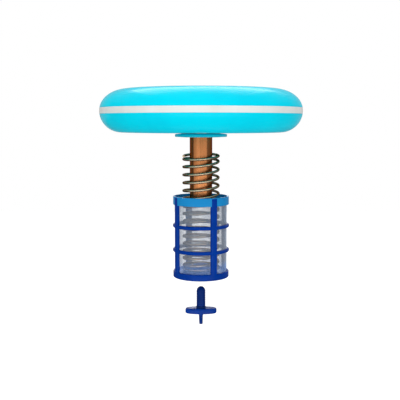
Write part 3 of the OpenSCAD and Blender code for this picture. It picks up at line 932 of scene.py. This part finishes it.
class SeatOperator(bpy.types.Operator):
    """Seat under the float, with its neck and the groove for the contact ring."""
    bl_idname = "ionizer.seat"
    bl_label = "Seat"

    plate = 3.5
    bevel = 0.6
    groove_depth = 0.7
    groove_gap = 0.1
    post_radius = 4.5

    def execute(self, context):
        bottom, top, reach = low("seat_flange").z, high("seat_flange").z, high("seat_flange").x
        face, groove = bottom + self.plate, bottom + self.groove_depth
        place = centre("contact_seal").xy
        groove_half = high("contact_ring").x - place.y + self.groove_gap
        near, far = place.y - groove_half, place.y + groove_half
        bore, neck = size("stud_bore"), size("neck_radius")
        outline = rounded([
            (bore, top, 0.3), (neck, top, 0.3), (neck + 1.0, face + 1.3, 0.6), (reach - 0.8, face, 0.6),
            (reach, face - self.bevel, 0.6), (reach, bottom, 0.8), (far, bottom, 0.2), (far, groove, 0.1),
            (near, groove, 0.1), (near, bottom, 0.2), (bore, bottom, 0.3)])
        seat = loose("seat_plate", [turned(outline, setting("turned_steps"))])
        combine(seat, "contact_post", [plug(self.post_radius, face - self.bevel, top, place)], "UNION")
        hole = plug(size("contact_bore"), bottom - 1.0, top + 1.0, place)
        combine(seat, "contact_hole", [hole], "DIFFERENCE")
        # The plate below its bevel is painted 0.73 as dark: painted shade under the float.
        cyan = moulded("cyan_seat", paint("shell"), paint("shell_deep"), polish=0.22, dull=0.12, bump=0.03,
                       cloud=40.0, levels=[(face, face - self.bevel, 0.73)], Specular_IOR_Level=0.08)
        finish_piece(seat, cyan, "float", ["seat_flange"])
        return {"FINISHED"}


class AnodeOperator(bpy.types.Operator):
    """Copper bar, bored for its stud above and for the thumb screw below."""
    bl_idname = "ionizer.anode"
    bl_label = "Copper anode"

    chamfer = 0.8
    stud_hole = 4.1
    stud_depth = 20.0
    socket = 6.05
    socket_depth = 18.7
    lead_in = 0.7

    def execute(self, context):
        bottom, top, radius = low("copper_anode").z, high("copper_anode").z, high("copper_anode").x
        stud_end, socket_end = top - self.stud_depth, bottom + self.socket_depth
        face = radius - self.chamfer
        outline = rounded([
            (0.0, stud_end, 0), (self.stud_hole, stud_end, 0.2), (self.stud_hole, top, 0.2), (face, top, 0.2),
            (radius, top - self.chamfer, 0.2), (radius, bottom + self.chamfer, 0.2), (face, bottom, 0.2),
            (self.socket + self.lead_in, bottom, 0.15), (self.socket, bottom + self.lead_in, 0.15),
            (self.socket, socket_end, 0.3), (0.0, socket_end, 0)], 4)
        copper = drawn_metal("drawn_copper", paint("copper"), paint("copper_dark"), (420.0, 420.0, 7.0),
                             polish=0.2, broad=0.22, bump=0.08, Specular_Tint=tone("704A30"))
        bar = turned(outline, setting("turned_steps"))
        piece("copper_bar", [bar], copper, "float", ["copper_anode"])
        return {"FINISHED"}


class SpringOperator(bpy.types.Operator):
    """Coil spring round the anode, standing in the basket."""
    bl_idname = "ionizer.spring"
    bl_label = "Coil cathode"

    end_turns = 0.9
    end_pitch = 3.8
    opening = 0.3
    tail = 0.14
    tail_drop = 0.25
    turn_steps = 48
    room_left = 0.15

    def height(self, turn, turns, pitch, sag):
        """Height of the wire's middle over its lower end."""
        def opened(t):
            return max(t, 0.0) ** 2 / (2 * self.opening) if t < self.opening else t - self.opening / 2
        free = min(max((turn - self.end_turns) / (turns - 2 * self.end_turns), 0.0), 1.0)
        wide = opened(turn - self.end_turns) - opened(turn - turns + self.end_turns + self.opening)
        droop = max(turn - turns + self.tail, 0.0) / self.tail
        return (self.end_pitch * turn + (pitch - self.end_pitch) * wide
                - 4 * sag * free * (1 - free) - self.tail_drop * droop ** 2)

    def path(self):
        """Middle of the wire, from its lower end to its upper end."""
        turns, rise, sag, radius = setting("coil_turns"), size("coil_rise"), size("coil_sag"), size("coil_radius")
        slant, lean = math.tan(setting("coil_slant")), math.tan(setting("coil_lean"))
        foot = low("coil_cathode").z + size("wire") / 2
        close = 2 * self.end_turns + self.opening
        pitch = (rise - close * self.end_pitch) / (turns - close)
        points = []
        for i in range(int(turns * self.turn_steps) + 1):
            turn = i / self.turn_steps
            a = math.pi - 2 * math.pi * (turns - turn)
            x, y = radius * math.cos(a), radius * math.sin(a)
            tilt = (slant * x + lean * y) * turn / turns
            points.append((x, y, foot + self.height(turn, turns, pitch, sag) + tilt))
        return points

    def execute(self, context):
        path, wire = self.path(), size("wire") / 2
        # The wire's warm steel colour holds a painted warm reflection of the copper bar.
        bright = drawn_metal("spring_wire", paint("steel"), paint("steel_dark"), (1500.0, 160.0, 1500.0),
                             polish=0.18, broad=0.12, round_way=True, Specular_Tint=tone("5A5650"))
        coil = piece("spring_coil", [tube(path, wire, 14, nose=0.2)], bright, "basket",
                     ["coil_cathode"], 50)
        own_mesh(coil)
        return {"FINISHED"}


class BasketOperator(bpy.types.Operator):
    """Blue cage: mouth, ribs, hoops, foot, floor with its tube and drain holes."""
    bl_idname = "ionizer.basket"
    bl_label = "Basket cage"

    ribs = 4
    rib_turn = 28.0
    rib_inside = 33.05
    rib_outside = 35.925
    rib_end_inside = 34.4
    rib_edge = 0.8
    rib_steps = 12
    hoop_drops = (37.7, 69.1)
    rim = 35.65
    bore = 33.25
    mouth_height = 10.6
    rebate = 33.3
    ledge_inside = 30.8
    ledge_drop = 3.5
    ledge_depth = 2.0
    foot_height = 8.0
    under_height = 3.0
    deck_height = 7.0
    tube_height = 15.5
    tube_radius = 10.0
    hole = 6.35
    ring_room = 6.71
    ring_depth = 2.4
    drains = 8
    drain_radius = 2.5
    drain_ring = 21.075

    def rib(self, turn, inside, lower, upper):
        """Upright rib with rounded outer edges."""
        half, edge, count = size("rib_width") / 2, self.rib_edge, self.rib_steps
        across = [-half + 2 * half * k / count for k in range(count + 1)]
        outline = []
        for x in across:
            over = max(abs(x) - (half - edge), 0.0)
            outline.append((x, -math.sqrt(self.rib_outside ** 2 - x ** 2) + edge - math.sqrt(edge ** 2 - over ** 2)))
        outline += [(x, -math.sqrt(inside ** 2 - x ** 2)) for x in reversed(across)]
        c, s = math.cos(turn), math.sin(turn)
        heights = [lower + (upper - lower) * k / count for k in range(count + 1)]
        return lofted([[(x * c - y * s, x * s + y * c, z) for x, y in outline] for z in heights])

    def above(self, tree, height):
        """1 over a height, 0 under it."""
        return place_group(tree, "height_tone", {"Start": (height - 0.1) * MM, "End": (height + 0.1) * MM})["Share"]

    def finish(self, mouth_low, deck):
        """Blue plastic, painted paler on the mouth between the ribs as a painted highlight, and on the floor as painted
        light against its shade.
        """
        def painted_mouth_and_floor_light(tree, tint):
            flat = add(tree, "VectorMath", {0: object_place(tree), 1: (1.0, 1.0, 0.0)}, operation="MULTIPLY")
            reach = add(tree, "VectorMath", {0: flat.outputs["Vector"]}, operation="LENGTH").outputs["Value"]
            wall = combined(tree, "LESS_THAN", reach, (self.rim + 0.1) * MM)
            inside = combined(tree, "LESS_THAN", reach, (self.bore - 0.3) * MM)
            # Masks of the painted light: the floor inside the basket, and the mouth ring above its lower edge.
            floor_light = times(tree, inside, self.above(tree, deck - 0.5))
            mouth_highlight = times(tree, wall, self.above(tree, mouth_low))
            return between(tree, mouth_highlight, between(tree, floor_light, tint, paint("floor")), paint("mouth"))
        return moulded("blue_plastic", paint("blue"), paint("blue_deep"), polish=0.2, dull=0.16, bump=0.04,
                       cloud=40.0, grain=1800.0, marks=0.06, mask=painted_mouth_and_floor_light, Specular_IOR_Level=0.045)

    def mouth(self, upper):
        """Section of the mouth, with the rebate and the ledge that take the seat."""
        lower, ledge = upper - self.mouth_height, upper - self.ledge_drop
        ledge_low = ledge - self.ledge_depth
        return rounded([
            (self.rebate, upper, 0.5), (self.rim, upper, 0.8), (self.rim, lower, 0.7), (self.bore, lower, 0.5),
            (self.bore, ledge_low, 0.2), (self.ledge_inside, ledge_low, 0.5), (self.ledge_inside, ledge, 0.4),
            (self.rebate, ledge, 0.2)])

    def foot(self, lower):
        """Section of the foot and the floor, with the tube over it and room for the screw's ring under it."""
        top, deck, under = lower + self.foot_height, lower + self.deck_height, lower + self.under_height
        tube_top, ring_top = lower + self.tube_height, under + self.ring_depth
        return rounded([
            (self.hole, tube_top, 0.5), (self.tube_radius, tube_top, 0.7), (self.tube_radius, deck, 0.9),
            (self.bore, deck, 0.3), (self.bore, top, 0.5), (self.rim, top, 0.8), (self.rim, lower, 0.9),
            (self.bore, lower, 0.7), (self.bore, under, 0.5), (self.ring_room, under, 0.3),
            (self.ring_room, ring_top, 0), (self.hole, ring_top, 0)])

    def hoop(self, middle):
        """Section of a hoop, round on its outer side."""
        edge, reach = size("hoop_height") / 2, high("basket_cage").x
        bend = [(reach - edge + edge * math.cos(a), middle + edge * math.sin(a))
                for a in (math.radians(-90 + 12 * k) for k in range(16))]
        return [(self.bore, middle + edge), (self.bore, middle - edge)] + bend

    def execute(self, context):
        lower, upper = low("basket_cage").z, high("basket_cage").z
        sections = [self.mouth(upper), self.foot(lower)] + [self.hoop(upper - drop) for drop in self.hoop_drops]
        cage = loose("cage", [turned(section, setting("turned_steps")) for section in sections])

        mouth_low, foot_top = upper - self.mouth_height, lower + self.foot_height
        turns = [math.radians(self.rib_turn + 360 * k / self.ribs) for k in range(self.ribs)]
        uprights = [self.rib(turn, self.rib_inside, foot_top - 0.6, mouth_low + 0.6) for turn in turns]
        ends = [self.rib(turn, self.rib_end_inside, mouth_low - 2.0, upper - 0.9) for turn in turns]
        combine(cage, "uprights", uprights, "UNION")
        combine(cage, "upright_ends", ends, "UNION")

        under, deck = lower + self.under_height, lower + self.deck_height
        holes = []
        for k in range(self.drains):
            a = 2 * math.pi * (k + 0.5) / self.drains
            place = (self.drain_ring * math.cos(a), self.drain_ring * math.sin(a))
            holes.append(plug(self.drain_radius, under - 1, deck + 1, place, 40))
        combine(cage, "drain_holes", holes, "DIFFERENCE")
        finish_piece(cage, self.finish(mouth_low, deck), "basket", ["basket_cage"])
        return {"FINISHED"}


class NetOperator(bpy.types.Operator):
    """Woven nylon net inside the cage."""
    bl_idname = "ionizer.net"
    bl_label = "Mesh sleeve"

    end_gap = 0.3
    wave = 0.9

    def finish(self, bottom):
        """Pale nylon, painted bluer low down over the basket's floor: painted blue light from the floor."""
        material, tree, shader = new_material("nylon_net", Specular_IOR_Level=0.4)
        place = object_place(tree)
        clouds = noise(tree, place, 45.0, 3.0)
        twist = noise(tree, mapped(tree, place, (900.0, 900.0, 900.0)), 3.0, 2.0)
        pale = between(tree, spread(tree, clouds, 0.3, 0.7), paint("nylon"), tone("AEB9CB"))
        # Painted blue light from the basket's floor: the net is tinted blue from 15 mm over its bottom, fully at 8.5 mm
        # and below.
        surface(tree, shader, toned(tree, pale, bottom + 15.0, bottom + 8.5, (0.8, 1.03, 1.45, 1.0)),
                spread(tree, twist, 0.2, 0.8, 0.32, 0.5), twist, 0.04)
        return material

    def weave(self, middle, bottom, top):
        """Form of upright and level threads that pass over and under each other."""
        thread = size("net_thread") / 2
        around = 2 * round(math.pi * middle / size("net_pitch"))
        rows = round((top - bottom) / size("net_pitch"))
        angle = 2 * np.pi * np.arange(around) / around
        level = bottom + (top - bottom) * np.arange(rows) / (rows - 1)
        over = np.where((np.arange(around)[:, None] + np.arange(rows)[None, :]) % 2 == 0, 1.0, -1.0)
        radial = np.stack([np.cos(angle), np.sin(angle), np.zeros(around)], 1)
        sideways = np.stack([-np.sin(angle), np.cos(angle), np.zeros(around)], 1)
        upright = np.array([0.0, 0.0, 1.0])

        def strands(reach, second):
            """Corners [around, rows, 4, 3] of four-sided threads whose middles lie at a reach."""
            centres = radial[:, None, :] * reach[:, :, None] + upright * level[None, :, None]
            first = np.broadcast_to(radial[:, None, :], centres.shape) * thread
            second = np.broadcast_to(second, centres.shape) * thread
            return np.stack([centres + first, centres + second, centres - first, centres - second], 2)

        def sides(start, end):
            """Faces between the corners of neighbouring thread sections."""
            return [np.stack([start[..., k], start[..., n], end[..., n], end[..., k]], -1).reshape(-1, 4)
                    for k, n in ((0, 1), (1, 2), (2, 3), (3, 0))]

        warp = strands(middle + over * thread * self.wave, sideways[:, None, :])
        weft = strands(middle - over * thread * self.wave, upright)
        first = np.arange(around * rows * 4).reshape(around, rows, 4)
        second = first + around * rows * 4
        faces = sides(first[:, :-1], first[:, 1:]) + sides(second, np.roll(second, -1, axis=0))
        faces += [first[:, 0, ::-1], first[:, -1]]
        corners = np.concatenate([warp.reshape(-1, 3), weft.reshape(-1, 3)])
        return corners.tolist(), np.concatenate(faces).tolist()

    def execute(self, context):
        lower, upper = low("mesh_sleeve"), high("mesh_sleeve")
        middle = upper.x - size("net_thread")
        bottom, top = lower.z + self.end_gap, upper.z - self.end_gap
        net = piece("net", [self.weave(middle, bottom, top)], self.finish(bottom), "basket",
                    ["mesh_sleeve"], 95)
        return {"FINISHED"}


class ScrewOperator(bpy.types.Operator):
    """Thumb screw with its wing, finger tab and sealing ring."""
    bl_idname = "ionizer.thumb_screw"
    bl_label = "Thumb screw"

    wing_length = 40.5
    wing_width = 17.5
    wing_depth = 7.1
    wing_edge = 1.2
    wing_upper_edge = 2.6
    wing_power = 0.8
    dome = 400.0
    tab_width = 17.0
    tab_depth = 14.8
    tab_thick = 4.6
    tab_edge = 1.4
    tab_flare = 0.3
    flare_depth = 0.8
    shaft = 5.75
    groove = 4.31
    groove_height = 2.4
    sunk = 2.5
    thread_start = 0.7
    thread_row = 0.25
    tip = 6.6
    tip_steps = 15
    quarter = [math.radians(15 * k) for k in range(7)]

    def shank(self, root, end):
        """Threaded shaft with a bullet tip; the thread fades out at both ends."""
        count, pitch, depth = 72, size("thread_pitch"), size("thread_depth")
        start, finish = root + self.groove_height, end - self.tip

        def ring(z, radius, share=0.0):
            corners = []
            for k, a in enumerate(bearings(count)):
                phase = ((z - root) / pitch - k / count) % 1.0
                crest = min(max(2.2 * (1.0 - abs(2 * phase - 1)) - 0.15, 0.0), 1.0)
                crest = crest * crest * (3 - 2 * crest)
                reach = radius - depth * share * (1 - crest)
                corners.append((reach * math.cos(a), reach * math.sin(a), z))
            return corners

        rings = [ring(root - self.sunk, self.groove), ring(start - 0.3, self.groove), ring(start, self.groove + 0.3),
                 ring(start + 0.02, self.shaft - 0.7), ring(start + 0.35, self.shaft - 0.12)]
        # The thread grows over its first 1.5 mm and fades over its last 2 mm
        run = finish - start - self.thread_start
        rows = int(run / self.thread_row)
        for i in range(rows + 1):
            z = start + self.thread_start + run * i / rows
            share = min(1.0, (z - start - 0.5) / 1.5, (finish + 0.6 - z) / 2.0)
            rings.append(ring(z, self.shaft, max(share, 0.0)))
        for k in range(1, self.tip_steps):
            a = math.radians(90 * k / self.tip_steps)
            rings.append(ring(finish + self.tip * math.sin(a), self.shaft * math.cos(a)))
        return lofted(rings)

    def wing(self, top):
        """Round-ended wing with a rounded edge, flat above and slightly domed below."""
        edge, upper_edge = self.wing_edge, self.wing_upper_edge
        outline = [(math.copysign(abs(c) ** self.wing_power, c) * self.wing_length / 2,
                    math.copysign(abs(s) ** self.wing_power, s) * self.wing_width / 2)
                   for c, s in ((math.cos(a), math.sin(a)) for a in bearings(96))]

        def ring(inset, drop=None, lift=None):
            corners = []
            for x, y in outline:
                x *= 1 - 2 * inset / self.wing_length
                y *= 1 - 2 * inset / self.wing_width
                below = top - self.wing_depth + self.dome - math.sqrt(self.dome ** 2 - x * x - y * y)
                corners.append((x, y, top - drop if drop is not None else below + lift))
            return corners

        rings = [ring(inset, drop=0.0) for inset in (7.5, 5.0, 3.6)]
        rings += [ring(upper_edge * (1 - math.sin(a)), drop=upper_edge * (1 - math.cos(a))) for a in self.quarter]
        rings += [ring(edge * (1 - math.cos(a)), lift=edge * (1 - math.sin(a))) for a in self.quarter]
        rings += [ring(inset, lift=0.0) for inset in (1.9, 3.0, 5.0, 7.5)]
        return lofted(rings)

    def tab(self, top):
        """Finger tab that thickens towards the wing."""
        root = top - self.wing_depth
        half, edge, wide = self.tab_thick / 2, self.tab_edge, self.tab_width / 2
        inner, inner_top = root + 1.2, root + 2.6
        bow = [(wide * math.cos(a), root - self.tab_depth * math.sin(a)) for a in (math.pi * k / 40 for k in range(41))]
        outline = [(wide, inner_top), (wide, inner)] + bow + [(-wide, inner), (-wide, inner_top)]

        def ring(x, inset):
            corners = []
            for y, z in outline:
                flare = 1 + self.tab_flare * math.exp(-max(root - z, 0.0) / self.flare_depth)
                y *= 1 - inset / wide
                drop = max(root - z, 0.0) * (1 - inset / self.tab_depth)
                corners.append((x * flare, y, root - drop if z <= root else z))
            return corners

        sides = [(half - edge * (1 - math.sin(a)), edge * (1 - math.cos(a))) for a in self.quarter]
        rings = [ring(-x, inset) for x, inset in reversed(sides)] + [ring(x, inset) for x, inset in sides]
        return lofted(rings)

    def finish(self, root):
        """Dark blue plastic, darker towards the finger tab, with painted shade on the shaft."""
        below = root - self.wing_depth
        # The shaft is painted 0.58 as dark: painted shade standing in for its thread grooves; the finger tab darkens to
        # 0.7 towards its bottom.
        return moulded("dark_blue_plastic", paint("screw"), paint("screw_deep"), polish=0.2, dull=0.16, bump=0.04,
                       cloud=60.0, grain=1800.0, marks=0.06, Specular_IOR_Level=0.06,
                       levels=[(below, below - 3.0, 0.7), (root, root + 1.0, 0.58)])

    def execute(self, context):
        ring_low, ring_high = low("screw_ring"), high("screw_ring")
        root = ring_low.z - 0.3
        screw = loose("thumb_screw_body", [self.wing(root)])
        combine(screw, "finger_tab", [self.tab(root)], "UNION")
        combine(screw, "shank", [self.shank(root, high("thumb_screw").z)], "UNION")
        finish_piece(screw, self.finish(root), "screw", ["thumb_screw"])
        section = (ring_high.z - ring_low.z) / 2
        middle = ring_high.x - section
        outline = [(middle + section * math.cos(a), ring_low.z + section + section * math.sin(a))
                   for a in bearings(24)]
        rubber = moulded("blue_black_rubber", tone("0A2860"), tone("0C2D68"), polish=0.45, dull=0.2, bump=0.05,
                         cloud=120.0, Specular_IOR_Level=0.08)
        piece("sealing_ring", [turned(outline, 96)], rubber, "screw_carrier", ["screw_ring"])
        return {"FINISHED"}


OPERATORS = (StageOperator, ShellsOperator, BandOperator, PanelOperator, WiringOperator, FixingsOperator,
             SeatOperator, AnodeOperator, SpringOperator, BasketOperator, NetOperator, ScrewOperator)


class IONIZER_PT_pieces(bpy.types.Panel):
    """Lists the steps that dress the frame, and the settings they use."""
    bl_label = "Pool ionizer"
    bl_space_type = "VIEW_3D"
    bl_region_type = "UI"
    bl_category = "Ionizer"

    def draw(self, context):
        for operator in OPERATORS:
            self.layout.operator(operator.bl_idname)
        for settings in (context.scene.ionizer_sizes, context.scene.ionizer_colours):
            box = self.layout.box()
            for name in settings.__annotations__:
                box.prop(settings, name)


CLASSES = (IonizerSizes, IonizerColours) + OPERATORS + (IONIZER_PT_pieces,)


def register():
    for cls in CLASSES:
        bpy.utils.register_class(cls)
    bpy.types.Scene.ionizer_sizes = PointerProperty(type=IonizerSizes)
    bpy.types.Scene.ionizer_colours = PointerProperty(type=IonizerColours)


def unregister():
    del bpy.types.Scene.ionizer_colours
    del bpy.types.Scene.ionizer_sizes
    for cls in reversed(CLASSES):
        bpy.utils.unregister_class(cls)


def main():
    register()
    for operator in OPERATORS:
        family, step = operator.bl_idname.split(".")
        getattr(getattr(bpy.ops, family), step)()
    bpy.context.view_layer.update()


if __name__ == "__main__":
    main()
